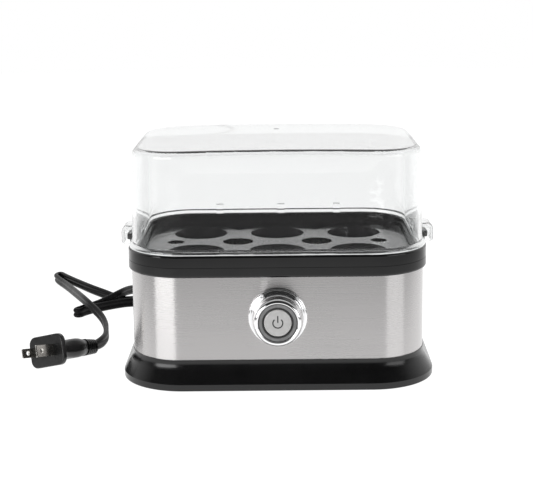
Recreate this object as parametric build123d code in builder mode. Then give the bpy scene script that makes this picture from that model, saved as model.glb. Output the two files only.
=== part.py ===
"""Six-egg electric egg cooker: steel-clad body, heated dish, lift-out egg tray, clear lid,
push button and mains lead with plug. Millimetres. X is left to right, the front faces -Y,
Z is up from the table. The origin is on the table, under the middle of the body."""
import os
from math import cos, pi, radians, sin, sqrt, tan

from build123d import *

os.makedirs("parts", exist_ok=True)

# ---------------------------------------------------------------- driving dimensions
band_length = 200.0  # the black band, the widest straight part of the body
band_depth = 152.0
band_corner = 38.0

foot_proud = 0.8  # feet below the bottom cover
cover_top = 5.3  # seam between bottom cover and skirt
skirt_top = 20.0  # seam between skirt and steel
band_bottom = 75.5  # lower edge of the black band
tray_seam = 82.1  # seam between band and egg tray
tray_top = 90.0
egg_deck = 83.5  # flat top of the tray, round the egg cups
lid_top = 158.0

skirt_flare = 5.0  # how far the foot of the skirt stands out from the band
steel_inset = 2.0  # how far the steel lies inside the band
steel_wall = 0.6
seat_gap = 0.2  # between pieces that lift off each other
fit_gap = 0.1  # radial, between fixed pieces that fit together
run_gap = 0.08  # radial, between pieces that slide in each other

cup_pitch_x = 55.2
cup_pitch_y = 56.8
cup_radius = 19.1
cup_depth = 7.4

knob_height = 48.9
knob_radius = 19.4
knob_reach = 16.0
button_radius = 8.9
button_travel = 2.0

cord_width = 7.6
cord_thickness = 3.9
boot_height = 12.2
boot_x = -30.0

half_length = band_length / 2
half_depth = band_depth / 2
steel_front = -(half_depth - steel_inset)  # y of the steel's front face


# ---------------------------------------------------------------- helpers
def body_rail():
    """The band's plan outline, once round from the middle of its right-hand side."""
    across = band_length - 2 * band_corner
    along = band_depth - 2 * band_corner
    with BuildLine() as path:
        run = Line((half_length, 0), (half_length, along / 2))
        for straight in (across, along, across, along / 2):
            bend = JernArc(run @ 1, run % 1, band_corner, 90)
            run = Line(bend @ 1, bend @ 1 + (bend % 1) * straight)
    return path.wire()


rail = body_rail()


def ring(points, rounds=(), mode=Mode.ADD):
    """Sweep a closed (outset from the band, height) profile once round the body.
    rounds lists (corner number, radius)."""
    corners = [(half_length + outset, height) for outset, height in points]
    with BuildSketch(Plane.XZ) as section:
        with BuildLine():
            Polyline(*corners, close=True)
        make_face()
        for number, radius in rounds:
            near = section.vertices().sort_by_distance((*corners[number], 0))[0]
            fillet(near, radius)
    sweep(section.sketch, path=rail, mode=mode)


def slab(outset, low, high, mode=Mode.ADD):
    """A block with the body's plan outline, set out from the band by outset."""
    with BuildSketch(Plane.XY.offset(low)) as section:
        RectangleRounded(
            band_length + 2 * outset, band_depth + 2 * outset, band_corner + outset
        )
    extrude(section.sketch, amount=high - low, mode=mode)


def column(radius, low, high, points, mode=Mode.ADD):
    """Upright cylinders of one radius at the given plan points."""
    with BuildSketch(Plane.XY.offset(low)) as section:
        with Locations(*points):
            Circle(radius)
    extrude(section.sketch, amount=high - low, mode=mode)


def block(x_range, y_range, z_range, mode=Mode.ADD):
    """A box between pairs of coordinates."""
    with BuildSketch(Plane.XY.offset(z_range[0])) as section:
        with Locations(((x_range[0] + x_range[1]) / 2, (y_range[0] + y_range[1]) / 2)):
            Rectangle(x_range[1] - x_range[0], y_range[1] - y_range[0])
    extrude(section.sketch, amount=z_range[1] - z_range[0], mode=mode)


def turned(points, mode=Mode.ADD):
    """Revolve a closed (radius, distance out of the steel's front) profile round the
    push button's axis."""
    centre = (0, steel_front, knob_height)
    with BuildSketch(Plane(origin=centre, x_dir=(1, 0, 0), z_dir=(0, 0, -1))) as section:
        with BuildLine():
            Polyline(*points, close=True)
        make_face()
    revolve(section.sketch, axis=Axis(centre, (0, -1, 0)), mode=mode)


def knob_plane(out):
    """A plane square to the push button's axis, its normal out of the body."""
    return Plane(
        origin=(0, steel_front - out, knob_height), x_dir=(1, 0, 0), z_dir=(0, -1, 0)
    )


def save(part, label):
    part.label = label
    export_step(part, f"parts/{label}.step")


def four(x, y):
    return [(x, y), (-x, y), (-x, -y), (x, -y)]


# ---------------------------------------------------------------- bottom cover and feet
wall = 2.0  # moulded plastic
foot_radius = 6.0
foot_recess = 1.2
foot_points = four(half_length - 34, half_depth - 20)
cover_bottom = foot_proud
cover_floor = cover_bottom + wall
# The tie screws stand between the dish and the steel, in the four corners.
tie_offset = (band_corner - 7.7) / sqrt(2)
tie_points = four(
    half_length - band_corner + tie_offset, half_depth - band_corner + tie_offset
)
tie_head_radius = 2.75
tie_head_height = 2.0
tie_shank_radius = 1.5
tie_seat = 4.4  # under side of the screw heads' seat
cover_tube_radius = 3.7
cover_tube_top = 22.0
outlet_radius = 6.6  # pad on the skirt, round the cord's boot
clamp_y = half_depth - 20
clamp_level = 8.4
clamp_screw_radius = 1.25
clamp_points = [(boot_x - 9, clamp_y), (boot_x + 9, clamp_y)]

with BuildPart() as base_plate:
    ring(
        [
            (skirt_flare, cover_bottom),
            (skirt_flare, cover_top),
            (skirt_flare - 2.6, cover_top),
            (skirt_flare - 2.6, cover_floor),
            (skirt_flare - 3.2, cover_floor),
            (skirt_flare - 3.2, cover_bottom),
        ],
        rounds=[(0, 0.8)],
    )
    slab(skirt_flare - 3.0, cover_bottom, cover_floor)
    # A low rib locates the skirt from inside.
    ring([(0.4, cover_floor - 0.5), (0.4, 7.2), (-1.2, 7.2), (-1.2, cover_floor - 0.5)])
    block(
        (boot_x - outlet_radius - 1, boot_x + outlet_radius + 1),
        (half_depth - 3, half_depth + 1),
        (cover_floor, 8),
        mode=Mode.SUBTRACT,
    )
    column(cover_tube_radius, cover_bottom, cover_tube_top, tie_points)
    column(tie_head_radius + fit_gap, 0, tie_seat, tie_points, mode=Mode.SUBTRACT)
    column(
        tie_shank_radius + fit_gap, 0, cover_tube_top, tie_points, mode=Mode.SUBTRACT
    )
    column(
        foot_radius + fit_gap,
        0,
        cover_bottom + foot_recess,
        foot_points,
        mode=Mode.SUBTRACT,
    )
    # Air slots under the heater.
    with BuildSketch(Plane.XY):
        with GridLocations(10, 40, 9, 1):
            SlotOverall(24, 3, rotation=90)
    extrude(amount=cover_floor + 1, mode=Mode.SUBTRACT)
    # Posts and a saddle for the cord clamp.
    column(3.2, cover_floor - 0.5, clamp_level, clamp_points)
    column(
        clamp_screw_radius + fit_gap,
        cover_floor + 0.6,
        clamp_level,
        clamp_points,
        mode=Mode.SUBTRACT,
    )
    block(
        (boot_x - cord_width / 2, boot_x + cord_width / 2),
        (clamp_y - 3, clamp_y + 3),
        (cover_floor - 0.5, clamp_level - cord_thickness - 0.15),
    )
save(base_plate.part, "base_plate")

with BuildPart() as feet:
    column(foot_radius, 0, cover_bottom + foot_recess, foot_points)
    fillet(feet.edges().group_by(Axis.Z)[0], 0.5)
save(feet.part, "feet")

# ---------------------------------------------------------------- skirt
skirt_neck = 1.6  # how far the skirt's top lies inside the band
neck_bottom = 16.0
steel_inner = steel_inset + steel_wall
lip_top = skirt_top + 4.0
skirt_seat = 1.1  # wall of the locating lip
outlet_face = half_depth + 4.6
outlet_back = half_depth - 4.0
boot_neck_radius = 4.1

with BuildPart() as base_skirt:
    ring(
        [
            (skirt_flare, cover_top),
            (-skirt_neck, neck_bottom),
            (-skirt_neck, skirt_top),
            (-steel_inner - fit_gap, skirt_top),
            (-steel_inner - fit_gap, lip_top),
            (-steel_inner - fit_gap - skirt_seat, lip_top),
            (-steel_inner - fit_gap - skirt_seat, neck_bottom + 0.5),
            (skirt_flare - 2.8, cover_top),
        ],
        rounds=[(1, 9.0), (6, 7.0)],
    )
    # Round pad on the back for the cord's boot.
    with BuildSketch(Plane.XZ.offset(-outlet_back)):
        with Locations((boot_x, boot_height)):
            Circle(outlet_radius)
    extrude(amount=outlet_back - outlet_face)
    with BuildSketch(Plane.XZ.offset(-(half_depth - 12))):
        with Locations((boot_x, boot_height)):
            Circle(boot_neck_radius + fit_gap)
    extrude(amount=-30, mode=Mode.SUBTRACT)
save(base_skirt.part, "base_skirt")

# ---------------------------------------------------------------- steel sleeve
bezel_bore = 14.2  # hole in the steel for the bezel's spigot
sleeve_top = band_bottom + 2.0

with BuildPart() as steel_sleeve:
    ring(
        [
            (-steel_inset, skirt_top),
            (-steel_inset, sleeve_top),
            (-steel_inner, sleeve_top),
            (-steel_inner, skirt_top),
        ]
    )
    with BuildSketch(knob_plane(5)):
        Circle(bezel_bore)
    extrude(amount=-10, mode=Mode.SUBTRACT)
save(steel_sleeve.part, "steel_sleeve")

# ---------------------------------------------------------------- black band (collar)
ledge_low = 72.0
ledge_top = 76.5
ledge_inset = 11.0
tray_socket = 6.3  # inset of the collar's inner wall, which the tray drops into
groove_gap = 0.1
collar_boss_radius = 4.4
collar_boss_foot = cover_tube_top + 0.2
shield_low = 44.0
shield_wall = 0.8
boss_step = shield_low + shield_wall  # below this shoulder the bosses are slimmer
boss_slim_radius = 3.4
collar_skirt = 4.5  # inset of the collar's inner skirt
bar_reach = half_length - 7.4  # where the heater's tie bar is screwed to the ledge
bar_screw_radius = 1.5

with BuildPart() as collar:
    ring(
        [
            (0, tray_seam),
            (0, band_bottom),
            (-steel_inset + groove_gap, band_bottom),
            (-steel_inset + groove_gap, sleeve_top + groove_gap),
            (-steel_inner - groove_gap, sleeve_top + groove_gap),
            (-steel_inner - groove_gap, 68.0),
            (-collar_skirt, 68.0),
            (-collar_skirt, ledge_low),
            (-ledge_inset, ledge_low),
            (-ledge_inset, ledge_top),
            (-tray_socket, ledge_top),
            (-tray_socket, tray_seam),
        ],
        rounds=[(1, 1.5)],
    )
    column(collar_boss_radius, boss_step, ledge_low + 1, tie_points)
    column(boss_slim_radius, collar_boss_foot, boss_step, tie_points)
    column(
        tie_shank_radius + fit_gap,
        collar_boss_foot - 1,
        collar_boss_foot + 18,
        tie_points,
        mode=Mode.SUBTRACT,
    )
    column(
        bar_screw_radius + fit_gap,
        ledge_low - 1,
        ledge_top - 1.2,
        [(bar_reach, 0), (-bar_reach, 0)],
        mode=Mode.SUBTRACT,
    )
save(collar.part, "collar")

# ---------------------------------------------------------------- heated dish
gasket_height = 0.4
dish_wall = 0.6
dish_inset = 13.0
dish_floor = 62.0
flange_low = ledge_top + gasket_height

with BuildPart() as plate_gasket:
    ring(
        [
            (-tray_socket - 0.3, ledge_top),
            (-tray_socket - 0.3, flange_low),
            (-ledge_inset + 0.4, flange_low),
            (-ledge_inset + 0.4, ledge_top),
        ]
    )
save(plate_gasket.part, "plate_gasket")

with BuildPart() as dish_hollow:
    slab(-dish_inset - dish_wall, dish_floor + dish_wall, flange_low + 5)
    fillet(dish_hollow.edges().group_by(Axis.Z)[0], 5.4)

with BuildPart() as heating_plate:
    slab(-dish_inset, dish_floor, flange_low + dish_wall)
    fillet(heating_plate.edges().group_by(Axis.Z)[0], 6.0)
    ring(
        [
            (-tray_socket - 0.2, flange_low),
            (-tray_socket - 0.2, flange_low + dish_wall),
            (-dish_inset - 0.3, flange_low + dish_wall),
            (-dish_inset - 0.3, flange_low),
        ]
    )
    add(dish_hollow.part, mode=Mode.SUBTRACT)
save(heating_plate.part, "heating_plate")

# ---------------------------------------------------------------- heater under the dish
spreader_wall = 1.6
spreader_low = dish_floor - spreader_wall
element_radius = 3.25
element_level = spreader_low - element_radius - 0.05
element_half_x = 48.0
element_half_y = 28.0
element_gap = 15.0  # half the opening between the two ends
spreader_margin = 6.4  # past the element's centre line
bar_top = 51.2
bar_wall = 1.5

with BuildPart() as heat_spreader:
    with BuildSketch(Plane.XY.offset(spreader_low)):
        RectangleRounded(
            2 * (element_half_x + spreader_margin),
            2 * (element_half_y + spreader_margin),
            26,
        )
    extrude(amount=spreader_wall)
save(heat_spreader.part, "heat_spreader")

with BuildPart() as heating_element:
    with BuildLine(Plane.XY.offset(element_level)) as element_path:
        FilletPolyline(
            (element_gap, -element_half_y),
            (element_half_x, -element_half_y),
            (element_half_x, element_half_y),
            (-element_half_x, element_half_y),
            (-element_half_x, -element_half_y),
            (-element_gap, -element_half_y),
            radius=18,
        )
    with BuildSketch(
        Plane(origin=element_path.line @ 0, z_dir=element_path.line % 0)
    ):
        Circle(element_radius)
    sweep(path=element_path.line)
save(heating_element.part, "heating_element")

with BuildPart() as element_pins:
    for side in (1, -1):
        with BuildSketch(
            Plane(
                origin=(side * element_gap, -element_half_y, element_level),
                z_dir=(-side, 0, 0),
            )
        ):
            Circle(1.6)
        extrude(amount=9)
save(element_pins.part, "element_pins")

thermostat_radius = 8.0
with BuildPart() as thermostat:
    column(thermostat_radius, bar_top, spreader_low - 2.2, [(0, 0)])
    column(thermostat_radius + 2.6, spreader_low - 2.2, spreader_low, [(0, 0)])
    for x in (-4, 4):
        block((x - 2.4, x + 2.4), (-15, -6), (53.6, 54.4))
save(thermostat.part, "thermostat")

with BuildPart() as tie_bar:
    foot_x = (half_length - dish_inset + 0.8, half_length - collar_skirt - 0.2)
    leg_x = (foot_x[0], foot_x[0] + bar_wall)
    block((-leg_x[1], leg_x[1]), (-7, 7), (bar_top - bar_wall, bar_top))
    for side in (1, -1):
        block(
            sorted((side * leg_x[0], side * leg_x[1])),
            (-7, 7),
            (bar_top - bar_wall, ledge_low),
        )
        block(
            sorted((side * leg_x[0], side * foot_x[1])),
            (-7, 7),
            (ledge_low - bar_wall, ledge_low),
        )
        # Pads press the element against the spreader.
        block(
            sorted((side * (element_half_x - 5), side * (element_half_x + 5))),
            (-7, 7),
            (bar_top, element_level - element_radius),
        )
    column(
        bar_screw_radius + fit_gap,
        ledge_low - bar_wall - 1,
        ledge_low,
        [(bar_reach, 0), (-bar_reach, 0)],
        mode=Mode.SUBTRACT,
    )
save(tie_bar.part, "tie_bar")

with BuildPart() as bar_screws:
    bar_points = [(bar_reach, 0), (-bar_reach, 0)]
    column(
        bar_screw_radius, ledge_low - bar_wall - 0.5, ledge_top - 1.6, bar_points
    )
    column(2.7, ledge_low - bar_wall - 2.0, ledge_low - bar_wall, bar_points)
save(bar_screws.part, "bar_screws")

fuse_radius = 2.6
fuse_level = spreader_low - fuse_radius - 0.05
with BuildPart() as thermal_fuse:
    with BuildSketch(Plane(origin=(-12, 18, fuse_level), z_dir=(1, 0, 0))):
        Circle(fuse_radius)
    extrude(amount=24)
save(thermal_fuse.part, "thermal_fuse")

# ---------------------------------------------------------------- heat shield
shield_inset = 6.0
wire_hole = (0, 44)
notch_half = 22.0
notch_edge = steel_front + 40  # room for the switch
with BuildPart() as heat_shield:
    slab(-shield_inset, shield_low, shield_low + shield_wall)
    with BuildSketch(Plane.XY.offset(shield_low)):
        with Locations(*tie_points):
            Circle(boss_slim_radius + 0.9)
    extrude(amount=shield_wall)
    column(
        boss_slim_radius + fit_gap,
        shield_low - 1,
        shield_low + 2,
        tie_points,
        mode=Mode.SUBTRACT,
    )
    column(7, shield_low - 1, shield_low + 2, [wire_hole], mode=Mode.SUBTRACT)
    block(
        (-notch_half, notch_half),
        (-half_depth, notch_edge),
        (shield_low - 1, shield_low + 2),
        mode=Mode.SUBTRACT,
    )
save(heat_shield.part, "heat_shield")

with BuildPart() as shield_clips:
    column(4.6, shield_low - 0.6, shield_low, tie_points)
    column(
        boss_slim_radius + 0.05,
        shield_low - 1,
        shield_low + 1,
        tie_points,
        mode=Mode.SUBTRACT,
    )
save(shield_clips.part, "shield_clips")

with BuildPart() as tie_screws:
    column(tie_head_radius, tie_seat - tie_head_height, tie_seat, tie_points)
    column(tie_shank_radius, tie_seat, collar_boss_foot + 17, tie_points)
    with BuildSketch(Plane.XY.offset(tie_seat - tie_head_height)):
        with Locations(*tie_points):
            Rectangle(3.4, 0.8)
            Rectangle(0.8, 3.4)
    extrude(amount=1.0, mode=Mode.SUBTRACT)
save(tie_screws.part, "tie_screws")

# ---------------------------------------------------------------- egg tray
tray_low = 79.0
trough_floor = tray_low + 1.6
tray_wall = 1.6
rim_width = 6.0
tray_skirt = tray_socket + 0.4  # inset of the skirt that stands in the collar
tray_inset = 8.2
deck_margin = 9.0  # deck outside the egg cups
valley_fill = 10.0  # how far past the cups' middles the deck fills between them
cup_ledge = egg_deck - cup_depth
cup_foot_radius = cup_radius - 1.6
cup_hole_radius = 12.5
vent_radius = 10.7
side_vent_radius = 6.0
side_vent_x = 71.2
tab_half = 8.8  # the lifting tabs on the ends of the rim
tab_inner = half_length - 1.6
tab_outer = half_length + 2.4
tab_lip = half_length + 4.6
tab_foot = tray_top - 5
tab_top = tray_top + 1.6
tab_thickness = 4.0

cup_points = [
    (column_x, row_y)
    for column_x in (-cup_pitch_x, 0, cup_pitch_x)
    for row_y in (-cup_pitch_y / 2, cup_pitch_y / 2)
]
vent_points = [(-cup_pitch_x / 2, 0), (cup_pitch_x / 2, 0)]

with BuildSketch(Plane.XY.offset(tray_low)) as deck_outline:
    with Locations(*cup_points):
        Circle(cup_radius + deck_margin)
    Rectangle(2 * cup_pitch_x, cup_pitch_y + 2 * valley_fill)
    end_middle = (half_length + cup_pitch_x) / 2
    with Locations((-end_middle, 0), (end_middle, 0)):
        Rectangle(half_length - cup_pitch_x, cup_pitch_y + 2 * cup_radius + 2 * deck_margin)
    RectangleRounded(
        band_length - 2 * tray_inset + 0.2,
        band_depth - 2 * tray_inset + 0.2,
        band_corner - tray_inset + 0.1,
        mode=Mode.INTERSECT,
    )

with BuildSketch(Plane.XY.offset(tray_low)) as deck_inside:
    add(deck_outline.sketch)
    offset(amount=-tray_wall)

with BuildPart() as egg_tray:
    slab(-tray_inset + 0.2, tray_low, trough_floor)
    extrude(deck_outline.sketch, amount=egg_deck - tray_low)
    extrude(
        deck_inside.sketch, amount=egg_deck - tray_wall - tray_low, mode=Mode.SUBTRACT
    )
    ring(
        [
            (0, tray_seam + seat_gap),
            (0, tray_top),
            (-rim_width, tray_top),
            (-rim_width, 86.3),
            (-rim_width - 1.2, 86.3),
            (-tray_inset, trough_floor),
            (-tray_inset, tray_low),
            (-tray_skirt, tray_low),
            (-tray_skirt, tray_seam + seat_gap),
        ],
        rounds=[(1, 1.2), (2, 1.0)],
    )
    # Egg cups: straight-sided cups with an inner ledge round a drain hole.
    for place in cup_points:
        with BuildSketch(Plane.XZ.offset(-place[1])):
            with BuildLine():
                Polyline(
                    (place[0], cup_ledge - tray_wall),
                    (place[0] + cup_foot_radius + tray_wall, cup_ledge - tray_wall),
                    (place[0] + cup_radius + tray_wall, egg_deck - tray_wall),
                    (place[0], egg_deck - tray_wall),
                    close=True,
                )
            make_face()
        revolve(axis=Axis((*place, 0), (0, 0, 1)))
    for place in cup_points:
        with BuildSketch(Plane.XZ.offset(-place[1])):
            with BuildLine():
                Polyline(
                    (place[0], cup_ledge - 5),
                    (place[0] + cup_hole_radius, cup_ledge - 5),
                    (place[0] + cup_hole_radius, cup_ledge),
                    (place[0] + cup_foot_radius, cup_ledge),
                    (place[0] + cup_radius, egg_deck),
                    (place[0], egg_deck),
                    close=True,
                )
            make_face()
        revolve(axis=Axis((*place, 0), (0, 0, 1)), mode=Mode.SUBTRACT)
    side_points = [(-side_vent_x, 0), (side_vent_x, 0)]
    column(vent_radius, tray_low - 5, egg_deck, vent_points, mode=Mode.SUBTRACT)
    column(side_vent_radius, tray_low - 5, egg_deck, side_points, mode=Mode.SUBTRACT)
    # Lifting tabs.
    for side in (1, -1):
        block(
            sorted((side * tab_inner, side * tab_outer)),
            (-tab_half, tab_half),
            (tab_foot, tab_top),
        )
        block(
            sorted((side * tab_inner, side * tab_lip)),
            (-tab_half, tab_half),
            (tab_top - tab_thickness, tab_top),
        )
    lip_edges = (
        egg_tray.edges()
        .filter_by(Axis.Z)
        .filter_by(lambda e: abs(abs(e.center().X) - tab_lip) < 0.1)
    )
    fillet(lip_edges, 2.5)
    fillet(egg_tray.edges().group_by(Axis.Z)[-1], 1.0)
save(egg_tray.part, "egg_tray")

# ---------------------------------------------------------------- clear lid
lid_seat = tray_top + seat_gap
lid_wall = 2.0
lid_inset = 2.66  # how far the wall's foot lies inside the band
lid_taper = 1.15
lid_flange = 2.2
lid_drop = 1.5  # how much lower the crown is at its ends
hood_half = 13.0
hood_reach = half_length + 8.3
hood_low = lid_seat - 5
hood_top = lid_seat + 7
hood_wall = 1.2
hood_corner = 5.5
hood_round = 4.2
hood_gap = 0.6  # between a hood's sides and the rim that they reach down beside
pocket_inner = half_length - 2.6
rib_x = (-43.2, 2.8, 44.6)
rib_width = 5.2
rib_low = 84.0
vent_hole = (0, 38)
vent_hole_radius = 2.0


def bell(inset, crown, rounding):
    """The lid's tapered block, arched along its length, with its upper edge rounded."""
    with BuildPart() as shape:
        with BuildSketch(Plane.XY.offset(lid_seat)):
            RectangleRounded(
                band_length - 2 * inset, band_depth - 2 * inset, band_corner - inset
            )
        extrude(amount=crown + 5 - lid_seat, taper=lid_taper)
        with BuildSketch(Plane.XZ.offset(-half_depth)):
            with BuildLine():
                ThreePointArc(
                    (-half_length, crown - lid_drop),
                    (0, crown),
                    (half_length, crown - lid_drop),
                )
                Polyline(
                    (half_length, crown - lid_drop),
                    (half_length, lid_seat),
                    (-half_length, lid_seat),
                    (-half_length, crown - lid_drop),
                )
            make_face()
        extrude(amount=band_depth, mode=Mode.INTERSECT)
        fillet(shape.faces().sort_by(Axis.Z)[-1].edges(), rounding)
    return shape.part


bell_outside = bell(lid_inset, lid_top, 4.5)
bell_inside = bell(lid_inset + lid_wall, lid_top - lid_wall, 2.6)

with BuildPart() as hood_pockets:
    for side in (1, -1):
        with BuildSketch(Plane.XY.offset(hood_low)):
            with Locations((side * (pocket_inner + hood_reach - hood_wall) / 2, 0)):
                RectangleRounded(
                    hood_reach - hood_wall - pocket_inner,
                    2 * (hood_half - hood_wall),
                    hood_corner - hood_wall,
                )
        extrude(amount=hood_top - hood_wall - hood_low)
    fillet(hood_pockets.edges().group_by(Axis.Z)[-1], hood_round - hood_wall)

with BuildPart() as lid:
    add(bell_outside)
    ring(
        [
            (-0.8, lid_seat),
            (-0.8, lid_seat + lid_flange),
            (-3.7, lid_seat + lid_flange),
            (-3.7, lid_seat),
        ],
        rounds=[(1, 1.0)],
    )
    flange_face = lid.faces().filter_by(
        lambda f: abs(f.center().Z - lid_seat - lid_flange) < 0.01
    )[0]
    fillet(flange_face.inner_wires()[0].edges(), 1.2)
    # Hoods over the tray's lifting tabs.
    for side in (1, -1):
        with BuildSketch(Plane.XY.offset(hood_low)):
            with Locations((side * (hood_reach - 12), 0)):
                RectangleRounded(24, 2 * hood_half, hood_corner)
        extrude(amount=hood_top - hood_low)
        block(
            sorted((side * (hood_reach - 25), side * (half_length + hood_gap))),
            (-hood_half, hood_half),
            (hood_low, lid_seat),
            mode=Mode.SUBTRACT,
        )
    hood_edges = lid.edges().filter_by(
        lambda e: abs(e.center().Z - hood_top) < 0.01 and abs(e.center().X) > half_length - 1
    )
    fillet(hood_edges, hood_round)
    add(hood_pockets.part, mode=Mode.SUBTRACT)
    add(bell_inside, mode=Mode.SUBTRACT)
    # Ribs at the back locate the lid inside the tray's rim.
    for x in rib_x:
        block(
            (x - rib_width / 2, x + rib_width / 2),
            (half_depth - 9.4, half_depth - lid_inset - 1),
            (lid_seat + 0.2, lid_seat + 7),
        )
        block(
            (x - rib_width / 2, x + rib_width / 2),
            (half_depth - 9.4, half_depth - tray_inset + 0.2),
            (rib_low, lid_seat + 0.3),
        )
    column(vent_hole_radius, lid_top - 5, lid_top + 1, [vent_hole], mode=Mode.SUBTRACT)
save(lid.part, "lid")

# ---------------------------------------------------------------- push button
bezel_bore_radius = 12.2
spigot_radius = bezel_bore - 0.2
spigot_back = -10.0
ring_seat = 12.6
ring_outer = 13.4
button_face = knob_reach - 0.6
button_flange_radius = 10.8
flange_back = 8.2
stem_radius = 3.0
stem_end = -6.0
housing_front = 4.0

with BuildPart() as knob_bezel:
    turned(
        [
            (knob_radius, 0),
            (knob_radius, 1.6),
            (knob_radius - 0.6, 2.3),
            (17.2, 2.3),
            (17.2, 1.4),
            (16.5, 1.4),
            (16.3, 5.6),
            (15.9, 5.6),
            (15.9, 6.3),
            (16.2, 6.3),
            (15.7, knob_reach - 0.8),
            (14.9, knob_reach),
            (14.1, knob_reach),
            (ring_outer + fit_gap, knob_reach - 0.6),
            (ring_outer + fit_gap, ring_seat),
            (bezel_bore_radius, ring_seat),
            (bezel_bore_radius, spigot_back),
            (spigot_radius, spigot_back),
            (spigot_radius, 0),
        ]
    )
save(knob_bezel.part, "knob_bezel")

with BuildPart() as indicator_ring:
    turned(
        [
            (button_radius + 0.4, ring_seat),
            (ring_outer, ring_seat),
            (ring_outer, ring_seat + 2.4),
            (button_radius + 0.4, ring_seat + 2.4),
        ]
    )
save(indicator_ring.part, "indicator_ring")

with BuildPart() as bezel_nut:
    turned(
        [
            (spigot_radius + 0.05, -steel_wall),
            (17.5, -steel_wall),
            (17.5, -steel_wall - 3),
            (spigot_radius + 0.05, -steel_wall - 3),
        ]
    )
save(bezel_nut.part, "bezel_nut")


sign_bow = CenterArc((0, 0), 3.15, 90 + 48, 360 - 96)


def power_sign(line):
    """Draw the power sign with strokes of one width on the current workplane."""
    SlotArc(sign_bow, line)
    with Locations((0, 2.55)):
        SlotOverall(3.9 + line, line, rotation=90)


with BuildPart() as power_button:
    turned(
        [
            (0, stem_end),
            (stem_radius, stem_end),
            (stem_radius, flange_back),
            (button_flange_radius, flange_back),
            (button_flange_radius, flange_back + 1.2),
            (button_radius, flange_back + 1.2),
            (button_radius, button_face),
            (0, button_face),
        ]
    )
    fillet(power_button.edges().group_by(Axis.Y)[0], 0.6)
    with BuildSketch(knob_plane(button_face - 0.3)):
        power_sign(0.83)
    extrude(amount=1, mode=Mode.SUBTRACT)
save(power_button.part, "power_button")

with BuildPart() as power_symbol:
    with BuildSketch(knob_plane(button_face - 0.3)):
        power_sign(0.75)
    extrude(amount=0.3)
save(power_symbol.part, "power_symbol")

with BuildPart() as switch_housing:
    turned(
        [
            (0, spigot_back - 0.2),
            (bezel_bore_radius - fit_gap, spigot_back - 0.2),
            (bezel_bore_radius - fit_gap, housing_front),
            (0, housing_front),
        ]
    )
    with BuildSketch(knob_plane(spigot_back - 0.2)):
        RectangleRounded(24, 24, 2)
    extrude(amount=-13.8)
    with BuildSketch(knob_plane(stem_end - button_travel - 0.6)):
        Circle(stem_radius + run_gap)
    extrude(amount=20, mode=Mode.SUBTRACT)
save(switch_housing.part, "switch_housing")

with BuildPart() as led_board:
    turned([(5.2, housing_front), (12, housing_front), (12, 5), (5.2, 5)])
    with BuildSketch(knob_plane(5)):
        with PolarLocations(10.2, 4, start_angle=45):
            Rectangle(1.6, 2.4)
    extrude(amount=0.7)
save(led_board.part, "led_board")

with BuildPart() as button_spring:
    spring_wire = 0.3
    spring_turns = 4
    spring_length = flange_back - housing_front - 2 * spring_wire - 0.1
    with BuildLine() as coil:
        Helix(
            spring_length / spring_turns,
            spring_length,
            4.2,
            center=knob_plane(housing_front + spring_wire).origin,
            direction=(0, -1, 0),
        )
    with BuildSketch(Plane(origin=coil.line @ 0, z_dir=coil.line % 0)):
        Circle(spring_wire)
    sweep(path=coil.line)
save(button_spring.part, "button_spring")

spade_back = spigot_back - 14.0
spade_x = 6.0
spade_drop = 8.0
with BuildPart() as switch_terminals:
    with BuildSketch(knob_plane(spade_back)):
        with Locations((-spade_x, -spade_drop), (spade_x, -spade_drop)):
            Rectangle(6.3, 0.8)
    extrude(amount=-8)
save(switch_terminals.part, "switch_terminals")

# ---------------------------------------------------------------- mains lead in the body
boot_end = knob_reach - steel_front
boot_inner = half_depth - 6
block_x = (-37.0, -3.0)
block_y = (18.0, 32.0)
block_top = cover_floor + 12.0

with BuildPart() as cord_boot:
    with BuildSketch(Plane(origin=(boot_x, boot_inner, boot_height), z_dir=(0, 0, 1))):
        with BuildLine():
            Polyline(
                (0, 0),
                (5.6, 0),
                (5.6, outlet_back - boot_inner - 0.1),
                (boot_neck_radius, outlet_back - boot_inner - 0.1),
                (boot_neck_radius, outlet_face - boot_inner + 0.1),
                (6.0, outlet_face - boot_inner + 0.1),
                (6.0, outlet_face - boot_inner + 2.4),
                (5.2, outlet_face - boot_inner + 2.9),
                (4.3, boot_end - boot_inner),
                (0, boot_end - boot_inner),
                close=True,
            )
        make_face()
    revolve(axis=Axis((boot_x, boot_inner, boot_height), (0, 1, 0)))
save(cord_boot.part, "cord_boot")

with BuildPart() as cord_clamp:
    block(
        (boot_x - 12.5, boot_x + 12.5),
        (clamp_y - 3.5, clamp_y + 3.5),
        (clamp_level, clamp_level + 2.2),
    )
    fillet(cord_clamp.edges().filter_by(Axis.Z), 3.0)
    column(
        clamp_screw_radius + fit_gap,
        clamp_level,
        clamp_level + 3,
        clamp_points,
        mode=Mode.SUBTRACT,
    )
save(cord_clamp.part, "cord_clamp")

with BuildPart() as clamp_screws:
    column(clamp_screw_radius, cover_floor + 1, clamp_level + 2.2, clamp_points)
    column(2.5, clamp_level + 2.2, clamp_level + 3.8, clamp_points)
save(clamp_screws.part, "clamp_screws")

lead_level = clamp_level - cord_thickness / 2 - 0.05
lead_end = block_y[1] + 6
with BuildPart() as cord_lead:
    with BuildLine() as lead_path:
        FilletPolyline(
            (boot_x, boot_inner, boot_height),
            (boot_x, boot_inner - 3, boot_height),
            (boot_x, clamp_y + 6, lead_level),
            (boot_x, lead_end, lead_level),
            radius=2.5,
        )
    with BuildSketch(Plane(origin=lead_path.line @ 0, x_dir=(1, 0, 0), z_dir=(0, -1, 0))):
        SlotOverall(cord_width, cord_thickness)
    sweep(path=lead_path.line)
save(cord_lead.part, "cord_lead")

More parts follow.
